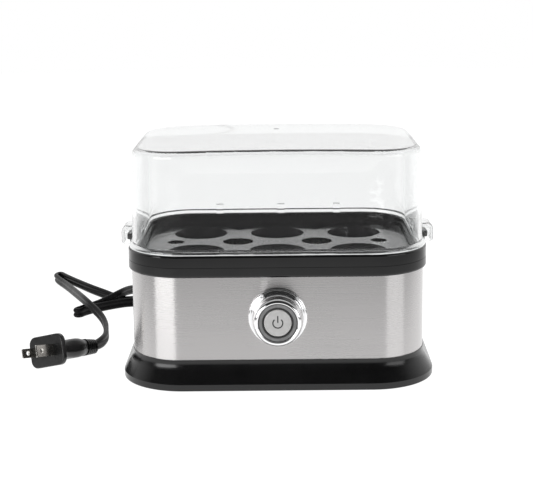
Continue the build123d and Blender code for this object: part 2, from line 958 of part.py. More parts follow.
with BuildPart() as terminal_block:
    block(block_x, block_y, (cover_floor, block_top))
    for x in (-28, -20, -12):
        column(2.6, block_top - 4, block_top, [(x, 25)], mode=Mode.SUBTRACT)
save(terminal_block.part, "terminal_block")

wire_radius = 1.2
spade_tip = steel_front - spade_back + 8
spade_level = knob_height - spade_drop
pin_tip = element_gap - 9
wire_routes = [
    # block to switch
    [
        (-28, block_y[0], 9),
        (-28, 4, 9),
        (-spade_x, spade_tip + 22, 14),
        (-spade_x, spade_tip + 10, spade_level),
        (-spade_x, spade_tip, spade_level),
    ],
    # switch to thermostat
    [
        (spade_x, spade_tip, spade_level),
        (spade_x, spade_tip + 4.6, spade_level),
        (4, spade_tip + 4.8, 54),
        (4, -15, 54),
    ],
    # thermostat to heater
    [(-4, -15, 54), (-4, -20, 54), (-2, -28, element_level), (-pin_tip, -28, element_level)],
    # heater to fuse
    [
        (pin_tip, -28, element_level),
        (1.6, -28, element_level),
        (3, -22.2, element_level),
        (19, -19, element_level),
        (19, 18, fuse_level),
        (12, 18, fuse_level),
    ],
    # fuse to block
    [
        (-12, 18, fuse_level),
        (-18, 18, fuse_level),
        (-18, 20, 50.5),
        (-14, 40, 50),
        (0, 44, 47),
        (0, 43, 30),
        (-12, 42, 9),
        (-12, block_y[1], 9),
    ],
]

with BuildPart() as inner_wires:
    for route in wire_routes:
        with BuildLine() as wire_path:
            FilletPolyline(*route, radius=1.3)
        with BuildSketch(Plane(origin=wire_path.line @ 0, z_dir=wire_path.line % 0)):
            Circle(wire_radius)
        sweep(path=wire_path.line)
    # The lead's two cores.
    for x in (boot_x - 2, boot_x + 2):
        with BuildSketch(Plane.XZ.offset(-block_y[1])):
            with Locations((x, lead_level)):
                Circle(wire_radius)
        extrude(amount=block_y[1] - lead_end)
save(inner_wires.part, "inner_wires")

# ---------------------------------------------------------------- plug
plug_neck = (-134.3, 7.3, 5.2)  # where the cord enters the plug
plug_length = 48.0
plug_yaw = radians(57.4)
plug_pitch = radians(11.2)
plug_roll = radians(16.5)
plug_flange = 3.8
blade_length = 17.0
blade_wall = 1.5
blade_pitch = 12.7
blade_widths = (7.9, 6.35)
blade_root = 6.0
grip_sections = [  # distance back from the face, width, thickness, corner radius
    (3.3, 18.5, 14.0, 5.0),
    (9, 18.2, 13.4, 5.0),
    (16, 17.6, 12.8, 4.8),
    (24, 20.0, 13.6, 5.4),
    (30, 18.4, 12.6, 5.0),
    (35, 15.2, 11.2, 4.4),
]
collar_ribs = 5
collar_start = 36.2
collar_pitch = 2.3

plug_axis = Vector(
    -cos(plug_yaw) * cos(plug_pitch), -sin(plug_yaw) * cos(plug_pitch), sin(plug_pitch)
)
plug_across = Vector(sin(plug_yaw), -cos(plug_yaw), 0)
plug_side = plug_across * cos(plug_roll) + plug_axis.cross(plug_across) * sin(plug_roll)
plug_face = Vector(*plug_neck) + plug_axis * plug_length


def plug_plane(back):
    """A plane square to the plug, its normal towards the cord, back from the face."""
    return Plane(origin=plug_face - plug_axis * back, x_dir=plug_side, z_dir=-plug_axis)


def blades(margin, low, high, mode):
    """Both blades between two distances back from the face, margin larger all round."""
    with BuildSketch(plug_plane(low)) as section:
        for side, width in zip((1, -1), blade_widths):
            with Locations((side * blade_pitch / 2, 0)):
                Rectangle(blade_wall + 2 * margin, width + 2 * margin)
    extrude(section.sketch, amount=high - low, mode=mode)


with BuildPart() as plug_body:
    with BuildSketch(plug_plane(0)):
        RectangleRounded(30.2, 21.7, 5.5)
    extrude(amount=plug_flange)
    fillet(plug_body.edges().group_by(SortBy.LENGTH)[-1], 0.8)
    for back, width, thickness, corner in grip_sections:
        with BuildSketch(plug_plane(back)):
            RectangleRounded(width, thickness, corner)
    loft()
    with BuildSketch(plug_plane(grip_sections[-1][0] - 0.5)):
        RectangleRounded(14.4, 10.6, 4.2)
    with BuildSketch(plug_plane(plug_length)):
        RectangleRounded(11.0, 8.6, 3.6)
    loft()
    for number in range(collar_ribs):
        with BuildSketch(plug_plane(collar_start + collar_pitch * number)):
            RectangleRounded(15.8 - 0.5 * number, 11.8 - 0.35 * number, 4.6 - 0.15 * number)
        extrude(amount=1.3)
    blades(0.04, -1, blade_root + 0.1, Mode.SUBTRACT)
save(plug_body.part, "plug_body")

with BuildPart() as plug_blades:
    blades(0, -blade_length, blade_root, Mode.ADD)
    tips = plug_blades.faces().sort_by(Axis((0, 0, 0), plug_axis))[-2:]
    chamfer(tips.edges(), 0.4)
    hole_plane = Plane(
        origin=plug_face + plug_axis * 12 - plug_side * 20,
        x_dir=plug_axis,
        z_dir=plug_side,
    )
    with BuildSketch(hole_plane):
        Circle(1.6)
    extrude(amount=40, mode=Mode.SUBTRACT)
save(plug_blades.part, "plug_blades")

# ---------------------------------------------------------------- cord
low = cord_width / 2  # height of the cord's middle where it lies on the table
neck_run = Vector(*plug_neck) - plug_axis * 7.2  # straight before the plug
cord_points = [
    (boot_x, boot_end, boot_height),
    (boot_x, boot_end + 11, boot_height),
    (-34, 113, 8.6),
    (-44, 124, 4.6),
    (-60, 131.5, low),
    (-82, 135.5, low),
    (-105, 134, low),
    (-124, 125, low),
    (-138, 112, low),
    (-149.5, 103.5, low),
    (-161, 99.5, low),
    (-164.4, 108.6, 4.4),
    (-153, 112.8, 6.5),
    (-141.5, 117.5, 9.5),
    (-131.5, 124, 15),
    (-125, 134, 19.5),
    (-119.5, 149, 19.5),
    (-114, 163.5, 12),
    (-106.5, 178, 5),
    (-98, 191.5, low),
    (-85, 201.5, low),
    (-68.5, 204.5, low),
    (-52.5, 199, low),
    (-42.5, 186, low),
    (-41.5, 170, low),
    (-50, 157, low),
    (-66.5, 150.5, low),
    (-87, 147, low),
    (-108, 143, low),
    (-123, 145, low),
    (-135.5, 155, low),
    (-148.5, 172, low),
    (-163, 193, low),
    (-176, 214.5, low),
    (-184, 229, low),
    (-191.5, 241, low),
    (-199.7, 236, low),
    (-193, 223, low),
    (-184.5, 203, low),
    (-173.5, 182, low),
    (-164.5, 159, 5),
    (-158, 139.5, 14),
    (-152.5, 120, 22),
    (-144.5, 97, 20),
    (-137.5, 78, 10.5),
    (-131.5, 60, 4.4),
    (-125.9, 45, low),
    (-124.6, 33.2, low),
    (-126.6, 21.9, low),
    tuple(neck_run),
    plug_neck,
]

runs = [Vector(*end) - Vector(*start) for start, end in zip(cord_points, cord_points[1:])]
bends = []
for before, after in zip(runs, runs[1:]):
    half_turn = radians(before.get_angle(after)) / 2
    bends.append(0.45 * min(before.length, after.length) / tan(half_turn))
print("cord radii:", [round(bend, 1) for bend in bends])

with BuildPart() as cord:
    with BuildLine() as cord_path:
        FilletPolyline(*cord_points, radius=bends)
    with BuildSketch(Plane(origin=cord_path.line @ 0, z_dir=cord_path.line % 0)):
        Circle(cord_width / 2)
    sweep(path=cord_path.line)
save(cord.part, "cord")
cord_length = cord_path.wire().length
print("cord length:", round(cord_length, 1))
print("cord volume / section x length:", round(cord.part.volume / (pi * low**2 * cord_length), 4))
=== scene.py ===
"""The looks of the egg cooker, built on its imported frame. Metres, Z up, front towards -Y."""

import math

import bpy
from mathutils import Matrix, Vector


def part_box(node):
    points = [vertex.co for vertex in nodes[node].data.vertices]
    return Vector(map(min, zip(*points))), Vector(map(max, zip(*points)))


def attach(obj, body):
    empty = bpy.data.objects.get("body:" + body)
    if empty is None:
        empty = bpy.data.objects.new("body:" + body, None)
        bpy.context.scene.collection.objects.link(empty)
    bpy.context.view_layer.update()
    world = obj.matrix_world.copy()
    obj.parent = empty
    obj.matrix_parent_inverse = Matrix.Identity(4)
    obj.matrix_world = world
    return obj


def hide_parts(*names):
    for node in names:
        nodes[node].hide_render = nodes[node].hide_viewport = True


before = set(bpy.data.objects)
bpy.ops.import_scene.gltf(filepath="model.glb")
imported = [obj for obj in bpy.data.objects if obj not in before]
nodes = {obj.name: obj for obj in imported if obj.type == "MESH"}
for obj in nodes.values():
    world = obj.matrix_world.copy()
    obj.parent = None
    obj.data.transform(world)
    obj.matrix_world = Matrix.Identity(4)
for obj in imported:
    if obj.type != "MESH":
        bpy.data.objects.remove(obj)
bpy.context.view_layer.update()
scene = bpy.context.scene


def link(name, data):
    """Makes an object of that data and puts it in the scene."""
    obj = bpy.data.objects.new(name, data)
    scene.collection.objects.link(obj)
    return obj


# ---------------------------------------------------------------- camera
VIEW_AZIMUTH, VIEW_ELEVATION, VIEW_ROLL = 0.15, 10.415, -0.589  # degrees
VIEW_TARGET = Vector((0.0, 0.0, 0.113))
VIEW_DISTANCE = 0.9061
VIEW_LENS, VIEW_SENSOR = 87.603, 36.0  # millimetres
VIEW_SHIFT = (-0.01955, -0.09372)


def make_camera():
    """Nearly straight in front, a little above the object, and rolled by a fraction of a degree."""
    azimuth = math.radians(VIEW_AZIMUTH)
    elevation = math.radians(VIEW_ELEVATION)
    roll = math.radians(VIEW_ROLL)
    back = Vector(
        (
            math.sin(azimuth) * math.cos(elevation),
            -math.cos(azimuth) * math.cos(elevation),
            math.sin(elevation),
        )
    )
    right = Vector((math.cos(azimuth), math.sin(azimuth), 0.0))
    up = back.cross(right)
    side = math.cos(roll) * right + math.sin(roll) * up
    top = math.cos(roll) * up - math.sin(roll) * right
    data = bpy.data.cameras.new("view_camera")
    data.sensor_width = VIEW_SENSOR
    data.lens = VIEW_LENS
    data.shift_x, data.shift_y = VIEW_SHIFT
    data.clip_start, data.clip_end = 0.05, 50.0
    camera = link("view_camera", data)
    place = Matrix.Translation(VIEW_TARGET + VIEW_DISTANCE * back)
    camera.matrix_world = place @ Matrix((side, top, back)).transposed().to_4x4()
    scene.camera = camera


make_camera()

# ---------------------------------------------------------------- mains cord
CORD_WIDTH, CORD_THICKNESS = 0.0076, 0.0039
# Each place, and how far the flat lead leans from standing on its edge there, in degrees.
CORD_ROUTE = [
    (-0.0300, 0.0900, 0.0122, 90),
    (-0.0300, 0.1010, 0.0122, 90),
    (-0.0340, 0.1130, 0.0086, 70),
    (-0.0440, 0.1240, 0.0046, 30),
    (-0.0600, 0.1315, 0.0038, 0),
    (-0.0820, 0.1355, 0.0038, 0),
    (-0.1050, 0.1370, 0.0038, 0),
    (-0.1225, 0.1368, 0.0038, 0),
    (-0.1321, 0.1311, 0.0038, 0),
    (-0.1413, 0.1243, 0.0038, 0),
    (-0.1498, 0.1162, 0.0038, 0),
    (-0.1543, 0.1104, 0.0038, 0),
    (-0.1576, 0.1040, 0.0038, 0),
    (-0.1622, 0.1064, 0.0038, 0),
    (-0.1580, 0.1132, 0.0038, 0),
    (-0.1544, 0.1176, 0.0039, 0),
    (-0.1500, 0.1220, 0.0043, 0),
    (-0.1440, 0.1269, 0.0054, 0),
    (-0.1380, 0.1325, 0.0072, 0),
    (-0.1320, 0.1382, 0.0092, 0),
    (-0.1280, 0.1450, 0.0099, 0),
    (-0.1252, 0.1570, 0.0086, 0),
    (-0.1215, 0.1695, 0.0062, 0),
    (-0.1145, 0.1820, 0.0044, 0),
    (-0.1015, 0.1930, 0.0038, 0),
    (-0.0850, 0.2035, 0.0038, 0),
    (-0.0680, 0.2105, 0.0038, 0),
    (-0.0485, 0.2060, 0.0038, 0),
    (-0.0355, 0.1890, 0.0038, 0),
    (-0.0355, 0.1670, 0.0038, 0),
    (-0.0470, 0.1525, 0.0038, 0),
    (-0.0665, 0.1475, 0.0038, 0),
    (-0.0870, 0.1460, 0.0038, 0),
    (-0.1080, 0.1433, 0.0038, 0),
    (-0.1220, 0.1436, 0.0034, 45),
    (-0.1295, 0.1463, 0.0030, 62),
    (-0.1360, 0.1532, 0.0032, 55),
    (-0.1440, 0.1630, 0.0035, 30),
    (-0.1586, 0.1804, 0.0038, 10),
    (-0.1700, 0.1965, 0.0038, 0),
    (-0.1810, 0.2122, 0.0038, 0),
    (-0.1885, 0.2235, 0.0038, 0),
    (-0.1933, 0.2310, 0.0038, 10),
    (-0.1968, 0.2248, 0.0038, 10),
    (-0.1934, 0.2158, 0.0038, 0),
    (-0.1890, 0.2065, 0.0039, 0),
    (-0.1840, 0.1960, 0.0043, 0),
    (-0.1765, 0.1760, 0.0060, 0),
    (-0.1685, 0.1525, 0.0084, 0),
    (-0.1612, 0.1310, 0.0106, 0),
    (-0.1553, 0.1146, 0.0119, 0),
    (-0.1504, 0.1038, 0.0116, 0),
    (-0.1453, 0.0958, 0.0098, 0),
    (-0.1402, 0.0882, 0.0077, 0),
    (-0.1356, 0.0792, 0.0056, 0),
    (-0.1319, 0.0670, 0.0041, 0),
    (-0.1298, 0.0525, 0.0038, 0),
    (-0.1280, 0.0390, 0.0038, 4),
    (-0.1288, 0.0275, 0.0038, 16),
    (-0.1311, 0.0176, 0.0040, 42),
    (-0.1343, 0.0073, 0.0052, 70),
]


def twin_profile():
    """The section of a two-core flat lead: two round lobes with a narrow web between them."""
    lobe, offset = CORD_THICKNESS / 2, (CORD_WIDTH - CORD_THICKNESS) / 2
    web = 0.00125
    start = math.acos(math.sqrt(lobe**2 - web**2) / lobe)
    steps = 14  # round each lobe
    half = []
    for i in range(steps + 1):
        angle = math.pi - start - (2 * math.pi - 2 * start) * i / steps
        half.append((offset + lobe * math.cos(angle), lobe * math.sin(angle)))
    outline = half + [(-x, -y) for x, y in half]
    data = bpy.data.curves.new("cord_section", "CURVE")
    data.dimensions = "2D"
    data.fill_mode = "NONE"
    spline = data.splines.new("POLY")
    spline.points.add(len(outline) - 1)
    for point, (x, y) in zip(spline.points, outline):
        point.co = (y, x, 0.0, 1.0)
    spline.use_cyclic_u = True
    section = link("cord_section", data)
    section.hide_render = True
    section.hide_viewport = True
    return section


def make_cord():
    data = bpy.data.curves.new("cord_line", "CURVE")
    data.dimensions = "3D"
    data.twist_mode = "Z_UP"
    spline = data.splines.new("NURBS")
    spline.points.add(len(CORD_ROUTE) - 1)
    for point, (x, y, z, lean) in zip(spline.points, CORD_ROUTE):
        point.co = (x, y, z, 1.0)
        point.tilt = math.radians(lean)
    spline.order_u = 3
    spline.use_endpoint_u = True
    data.resolution_u = 8
    data.bevel_mode = "OBJECT"
    data.bevel_object = twin_profile()
    data.use_fill_caps = True
    return link("mains_cord", data)


cord = make_cord()


# ---------------------------------------------------------------- node helpers
class Nodes:
    """Short ways to add nodes to a tree and to join them."""

    def __init__(self, tree):
        self.tree = tree

    def node(self, kind, **values):
        made = self.tree.nodes.new(kind)
        for key, value in values.items():
            setattr(made, key, value)
        return made

    def join(self, output, target):
        self.tree.links.new(output, target)

    def noise(self, size, detail=3.0, rough=0.55, stretch=(1.0, 1.0, 1.0), shift=0.0):
        """Noise with features of about size metres, drawn out along each axis by stretch."""
        place = self.node("ShaderNodeTexCoord")
        mapping = self.node("ShaderNodeMapping")
        mapping.inputs["Location"].default_value = (shift, shift * 0.7, shift * 1.3)
        mapping.inputs["Scale"].default_value = tuple(1.0 / (size * s) for s in stretch)
        made = self.node("ShaderNodeTexNoise")
        made.inputs["Scale"].default_value = 1.0
        made.inputs["Detail"].default_value = detail
        made.inputs["Roughness"].default_value = rough
        self.join(place.outputs["Object"], mapping.inputs["Vector"])
        self.join(mapping.outputs["Vector"], made.inputs["Vector"])
        return made.outputs["Fac"]

    def spread(self, fac, low, high, start=0.3, end=0.7, kind="LINEAR"):
        made = self.node("ShaderNodeMapRange", interpolation_type=kind)
        made.inputs["From Min"].default_value = start
        made.inputs["From Max"].default_value = end
        made.inputs["To Min"].default_value = low
        made.inputs["To Max"].default_value = high
        self.join(fac, made.inputs["Value"])
        return made.outputs["Result"]

    def blend(self, fac, first, second):
        made = self.node("ShaderNodeMix", data_type="RGBA")
        for socket, value in ((6, first), (7, second)):
            if isinstance(value, tuple):
                made.inputs[socket].default_value = (*value, 1.0)
            else:
                self.join(value, made.inputs[socket])
        self.join(fac, made.inputs[0])
        return made.outputs[2]

    def math(self, operation, a, b):
        made = self.node("ShaderNodeMath", operation=operation)
        for socket, value in ((0, a), (1, b)):
            if isinstance(value, (int, float)):
                made.inputs[socket].default_value = value
            else:
                self.join(value, made.inputs[socket])
        return made.outputs[0]

    def seen_straight(self):
        """What the path says: camera or transmission ray, and if it was never mirrored."""
        path = self.node("ShaderNodeLightPath")
        seen = self.math(
            "MAXIMUM", path.outputs["Is Camera Ray"], path.outputs["Is Transmission Ray"]
        )
        straight = self.math("LESS_THAN", path.outputs["Glossy Depth"], 0.5)
        return path, seen, self.math("MULTIPLY", seen, straight)


class Finish(Nodes):
    """A material of one Principled shader, and the nodes that vary it."""

    def __init__(self, name, colour, roughness, metallic=0.0, **sockets):
        self.material = bpy.data.materials.new(name)
        self.material.use_nodes = True
        super().__init__(self.material.node_tree)
        self.shader = self.tree.nodes["Principled BSDF"]
        self.set("Base Color", (*colour, 1.0))
        self.set("Roughness", roughness)
        self.set("Metallic", metallic)
        for socket, value in sockets.items():
            self.set(socket.replace("_", " "), value)

    def set(self, socket, value):
        self.shader.inputs[socket].default_value = value

    def bump(self, height, strength, distance, under=None):
        made = self.node("ShaderNodeBump")
        made.inputs["Strength"].default_value = strength
        made.inputs["Distance"].default_value = distance
        self.join(height, made.inputs["Height"])
        if under is not None:
            self.join(under, made.inputs["Normal"])
        self.join(made.outputs["Normal"], self.shader.inputs["Normal"])
        return made.outputs["Normal"]

    def colours(self, fac, first, second):
        self.join(self.blend(fac, first, second), self.shader.inputs["Base Color"])

    def roughen(self, fac, low, high, start=0.3, end=0.7):
        self.join(self.spread(fac, low, high, start, end), self.shader.inputs["Roughness"])


# ---------------------------------------------------------------- finishes
# dark and light bound the colour, low and high the roughness; grain is the size of the
# surface's grain and depth its height, in metres.
def moulded(name, dark, light, low, high, grain, depth):
    """Moulded plastic: cloudy colour, uneven gloss, a fine grain and a few long handling scuffs."""
    made = Finish(name, dark, (low + high) / 2)
    made.colours(made.spread(made.noise(0.02, 4.0), 0.0, 1.0), dark, light)
    cloud = made.noise(0.012, 5.0, 0.6, shift=3.1)
    scuff = made.noise(0.0016, 2.0, 0.5, stretch=(9.0, 9.0, 1.0), shift=7.7)
    worn = made.spread(scuff, 0.0, 0.05, 0.62, 0.8)
    gloss = made.math("ADD", made.spread(cloud, low, high), worn)
    made.join(gloss, made.shader.inputs["Roughness"])
    flow = made.bump(made.noise(0.03, 2.0, shift=1.3), 0.15, 0.0002)
    made.bump(made.noise(grain, 3.0, 0.6, shift=5.0), 0.35, depth, flow)
    return made


def black_plastic():
    dark, light = (0.0032, 0.0032, 0.0034), (0.0052, 0.0052, 0.0054)
    return moulded("moulded_black", dark, light, 0.18, 0.25, 0.0007, 0.00001)


def tray_plastic():
    dark, light = (0.0030, 0.0030, 0.0032), (0.0045, 0.0045, 0.0047)
    return moulded("glossy_black", dark, light, 0.09, 0.15, 0.0012, 0.000001)


def brushed_steel():
    made = Finish("brushed_steel", (0.555, 0.542, 0.54), 0.27, 1.0, Anisotropic=0.95)
    lines = made.noise(0.00012, 3.0, 0.7, stretch=(300.0, 300.0, 1.0))
    bands = made.noise(0.0007, 4.0, 0.6, stretch=(160.0, 160.0, 1.0), shift=2.0)
    cloud = made.noise(0.045, 3.0, shift=9.0)
    tone = made.math("ADD", made.spread(lines, 0.0, 0.5), made.spread(cloud, 0.0, 0.5))
    made.colours(tone, (0.54, 0.527, 0.525), (0.57, 0.557, 0.555))
    made.join(
        made.math("ADD", made.spread(bands, 0.25, 0.272), made.spread(cloud, 0.0, 0.02)),
        made.shader.inputs["Roughness"],
    )
    tangent = made.node("ShaderNodeTangent", direction_type="RADIAL", axis="Z")
    made.join(tangent.outputs["Tangent"], made.shader.inputs["Tangent"])
    made.set("Anisotropic Rotation", 0.25)
    made.bump(lines, 0.008, 0.00001)
    return made


def metal(name, dark, light, low, high, grain=0.0006, depth=0.00001):
    made = Finish(name, light, (low + high) / 2, 1.0)
    made.colours(made.spread(made.noise(0.008, 5.0, 0.65), 0.0, 1.0), dark, light)
    made.roughen(made.noise(0.004, 5.0, 0.65, shift=4.0), low, high)
    made.bump(made.noise(grain, 3.0, 0.6, shift=2.0), 0.4, depth)
    return made


def clear_plastic():
    made = Finish("clear_plastic", (0.945, 0.95, 0.95), 0.01, IOR=1.5)
    made.set("Transmission Weight", 1.0)
    made.roughen(made.noise(0.02, 4.0, 0.6), 0.004, 0.02)
    wave = made.bump(made.noise(0.035, 1.0, 0.4, stretch=(1.0, 1.0, 1.6)), 0.06, 0.0003)
    made.bump(made.noise(0.0009, 2.0, 0.5, shift=6.0), 0.03, 0.00001, wave)
    # Lamps shine through it, as through any thin clear shell. So does light that was mirrored
    # twice, which would otherwise go to and fro inside it and die out as black.
    path = made.node("ShaderNodeLightPath")
    trapped = made.math("GREATER_THAN", path.outputs["Glossy Depth"], 1.5)
    through = made.math("MAXIMUM", path.outputs["Is Shadow Ray"], trapped)
    clear = made.node("ShaderNodeBsdfTransparent")
    clear.inputs["Color"].default_value = (0.90, 0.91, 0.91, 1.0)
    mix = made.node("ShaderNodeMixShader")
    made.join(through, mix.inputs[0])
    made.join(made.shader.outputs[0], mix.inputs[1])
    made.join(clear.outputs[0], mix.inputs[2])
    made.join(mix.outputs[0], made.tree.nodes["Material Output"].inputs["Surface"])
    return made


def chrome():
    made = Finish("chrome", (0.90, 0.90, 0.905), 0.04, 1.0)
    cloud = made.spread(made.noise(0.006, 4.0), 0.0, 1.0)
    made.colours(cloud, (0.88, 0.88, 0.885), (0.925, 0.925, 0.93))
    made.roughen(made.noise(0.003, 4.0, 0.6, shift=2.0), 0.03, 0.07)
    return made


def silver_plastic():
    made = Finish("silver_plastic", (0.56, 0.555, 0.55), 0.42, 0.4)
    cloud = made.spread(made.noise(0.003, 4.0), 0.0, 1.0)
    made.colours(cloud, (0.53, 0.525, 0.52), (0.59, 0.585, 0.58))
    made.roughen(made.noise(0.0015, 4.0, 0.6, shift=2.0), 0.38, 0.46)
    made.bump(made.noise(0.0003, 2.0, shift=4.0), 0.3, 0.00001)
    return made


def smoked_plastic():
    """The ring round the button: grey, with painted shade near black at its inner and outer edges.
    """
    made = Finish("smoked_plastic", (0.2, 0.2, 0.2), 0.3)
    low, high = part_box("indicator_ring")
    place = made.node("ShaderNodeTexCoord")
    offset = made.node("ShaderNodeVectorMath", operation="SUBTRACT")
    offset.inputs[1].default_value = [(a + b) / 2 for a, b in zip(low, high)]
    made.join(place.outputs["Object"], offset.inputs[0])
    flat = made.node("ShaderNodeVectorMath", operation="MULTIPLY")
    flat.inputs[1].default_value = (1.0, 0.0, 1.0)
    made.join(offset.outputs["Vector"], flat.inputs[0])
    radius = made.node("ShaderNodeVectorMath", operation="LENGTH")
    made.join(flat.outputs["Vector"], radius.inputs[0])
    # Painted shade: by radius, the colour falls to near black at the ring's inner gap and outer
    # edge.
    inner = made.spread(radius.outputs["Value"], 0.0, 1.0, 0.0099, 0.0106, "SMOOTHSTEP")
    outer = made.spread(radius.outputs["Value"], 1.0, 0.0, 0.0119, 0.0124, "SMOOTHSTEP")
    cloud = made.spread(made.noise(0.004, 4.0), 0.0, 1.0)
    grey = made.blend(cloud, (0.18, 0.18, 0.182), (0.235, 0.235, 0.237))
    made.colours(made.math("MULTIPLY", inner, outer), (0.012, 0.012, 0.012), grey)
    made.roughen(made.noise(0.002, 4.0, 0.6, shift=2.0), 0.25, 0.36)
    return made


def rubber(name, dark, light, low, high, **sockets):
    made = Finish(name, dark, (low + high) / 2, **sockets)
    made.colours(made.spread(made.noise(0.006, 5.0, 0.65), 0.0, 1.0), dark, light)
    made.roughen(made.noise(0.004, 4.0, 0.6, shift=3.0), low, high)
    made.bump(made.noise(0.0006, 3.0, 0.6, shift=8.0), 0.35, 0.00003)
    return made


def printed():
    made = Finish("dark_print", (0.02, 0.02, 0.021), 0.6)
    cloud = made.spread(made.noise(0.001, 3.0), 0.0, 1.0)
    made.colours(cloud, (0.014, 0.014, 0.015), (0.03, 0.03, 0.031))
    made.roughen(made.noise(0.0006, 3.0, shift=2.0), 0.5, 0.7)
    return made


def board_green():
    made = Finish("board_lacquer", (0.02, 0.12, 0.05), 0.3)
    cloud = made.spread(made.noise(0.0015, 2.0), 0.0, 1.0)
    made.colours(cloud, (0.012, 0.09, 0.04), (0.03, 0.16, 0.07))
    made.roughen(made.noise(0.002, 3.0, shift=2.0), 0.2, 0.4)
    return made


BLACK_RUBBER = (0.004, 0.004, 0.0042), (0.008, 0.008, 0.0082)

FINISHES = {
    "black": black_plastic(),
    "tray": tray_plastic(),
    "steel": brushed_steel(),
    "clear": clear_plastic(),
    "chrome": chrome(),
    "silver": silver_plastic(),
    "smoked": smoked_plastic(),
    "print": printed(),
    "dish": metal("satin_steel", (0.50, 0.49, 0.48), (0.62, 0.61, 0.60), 0.22, 0.34),
    "aluminium": metal(
        "cast_aluminium", (0.62, 0.63, 0.65), (0.78, 0.79, 0.80), 0.35, 0.5, 0.0009, 0.00004
    ),
    "sheath": metal("heater_sheath", (0.30, 0.28, 0.26), (0.45, 0.44, 0.43), 0.35, 0.55),
    "zinc": metal("zinc_plate", (0.52, 0.54, 0.56), (0.68, 0.69, 0.70), 0.25, 0.4),
    "grey_rubber": rubber(
        "grey_rubber", (0.045, 0.045, 0.046), (0.07, 0.07, 0.071), 0.6, 0.75
    ),
    "black_rubber": rubber("black_rubber", *BLACK_RUBBER, 0.27, 0.36),
    "cord_rubber": rubber("cord_rubber", *BLACK_RUBBER, 0.34, 0.42, Specular_IOR_Level=0.1),
    "ceramic": moulded(
        "glazed_ceramic", (0.72, 0.70, 0.66), (0.82, 0.81, 0.77), 0.2, 0.35, 0.001, 0.00001
    ),
    "board": board_green(),
    "nickel": metal("nickel_plate", (0.62, 0.60, 0.56), (0.76, 0.74, 0.70), 0.16, 0.28),
}

NODE_FINISH = {
    "base_plate": "black",
    "feet": "grey_rubber",
    "base_skirt": "black",
    "steel_sleeve": "steel",
    "collar": "black",
    "plate_gasket": "grey_rubber",
    "heating_plate": "dish",
    "heat_spreader": "aluminium",
    "heating_element": "sheath",
    "element_pins": "zinc",
    "thermostat": "ceramic",
    "tie_bar": "zinc",
    "bar_screws": "zinc",
    "thermal_fuse": "ceramic",
    "heat_shield": "aluminium",
    "shield_clips": "zinc",
    "tie_screws": "zinc",
    "egg_tray": "tray",
    "lid": "clear",
    "knob_bezel": "chrome",
    "indicator_ring": "smoked",
    "bezel_nut": "black",
    "power_button": "silver",
    "power_symbol": "print",
    "switch_housing": "black",
    "led_board": "board",
    "button_spring": "zinc",
    "switch_terminals": "nickel",
    "cord_boot": "black_rubber",
    "cord_clamp": "black",
    "clamp_screws": "zinc",
    "cord_lead": "black_rubber",
    "terminal_block": "ceramic",
    "inner_wires": "grey_rubber",
    "plug_body": "black_rubber",
    "plug_blades": "nickel",
}


def paint(obj, finish):
    material = FINISHES[finish].material
    if not obj.data.materials:
        obj.data.materials.append(material)
    for slot in obj.material_slots:
        slot.material = material


for node, finish in NODE_FINISH.items():
    paint(nodes[node], finish)

paint(cord, "cord_rubber")
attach(cord, "base")
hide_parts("cord")


# ---------------------------------------------------------------- turned chrome bezel
BEZEL_REACH = 0.016  # how far it stands out of the steel
BEZEL_TURNS = 144
BEZEL_SHARP = 50  # degrees between faces, past which an edge is drawn sharp
MILLIMETRE = 0.001
# Radius and distance out of the steel's front, in millimetres.
BEZEL_PROFILE = (
    (19.30, 0.10), (19.40, 0.45), (19.36, 1.00), (19.15, 1.55), (18.75, 1.95), (18.25, 2.10),
    (17.75, 1.98), (17.35, 1.62), (17.12, 1.22), (16.98, 1.10), (16.84, 1.25), (16.72, 1.75),
    (16.62, 2.40), (16.50, 4.00), (16.30, 6.40), (16.22, 6.80), (16.30, 7.00), (16.46, 7.30),
    (16.50, 7.60), (16.40, 7.90), (16.16, 8.10), (16.04, 8.30), (15.96, 10.40), (15.90, 12.40),
    (15.82, 13.20), (15.64, 13.90), (15.36, 14.50), (15.00, 15.00), (14.60, 15.40), (14.20, 15.68),
    (13.80, 15.86), (13.45, 15.94), (13.15, 15.90), (12.90, 15.72), (12.70, 15.45), (12.62, 15.12),
    (13.20, 15.08), (13.50, 15.00), (13.50, 12.60), (12.20, 12.60), (12.20, -10.00),
    (14.00, -10.00), (14.00, 0.00), (19.20, 0.00),
)


def make_bezel():
    """The profile turned once round the button, as a closed ring."""
    low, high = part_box("knob_bezel")
    centre_x, centre_z = (low[0] + high[0]) / 2, (low[2] + high[2]) / 2
    foot = low[1] + BEZEL_REACH
    mesh = bpy.data.meshes.new("bezel_turned")
    points, faces = [], []
    for radius, out in BEZEL_PROFILE:
        for turn in range(BEZEL_TURNS):
            a = 2 * math.pi * turn / BEZEL_TURNS
            x = centre_x + radius * MILLIMETRE * math.cos(a)
            z = centre_z + radius * MILLIMETRE * math.sin(a)
            points.append((x, foot - out * MILLIMETRE, z))
    rows = len(BEZEL_PROFILE)
    for row in range(rows):
        this, after = row * BEZEL_TURNS, (row + 1) % rows * BEZEL_TURNS
        for turn in range(BEZEL_TURNS):
            side = (turn + 1) % BEZEL_TURNS
            faces.append((this + turn, this + side, after + side, after + turn))
    mesh.from_pydata(points, [], faces)
    mesh.polygons.foreach_set("use_smooth", [True] * len(faces))
    mesh.set_sharp_from_angle(angle=math.radians(BEZEL_SHARP))
    mesh.update()
    bezel = link("bezel_turned", mesh)
    paint(bezel, "chrome")
    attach(bezel, "base")
    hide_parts("knob_bezel")


make_bezel()


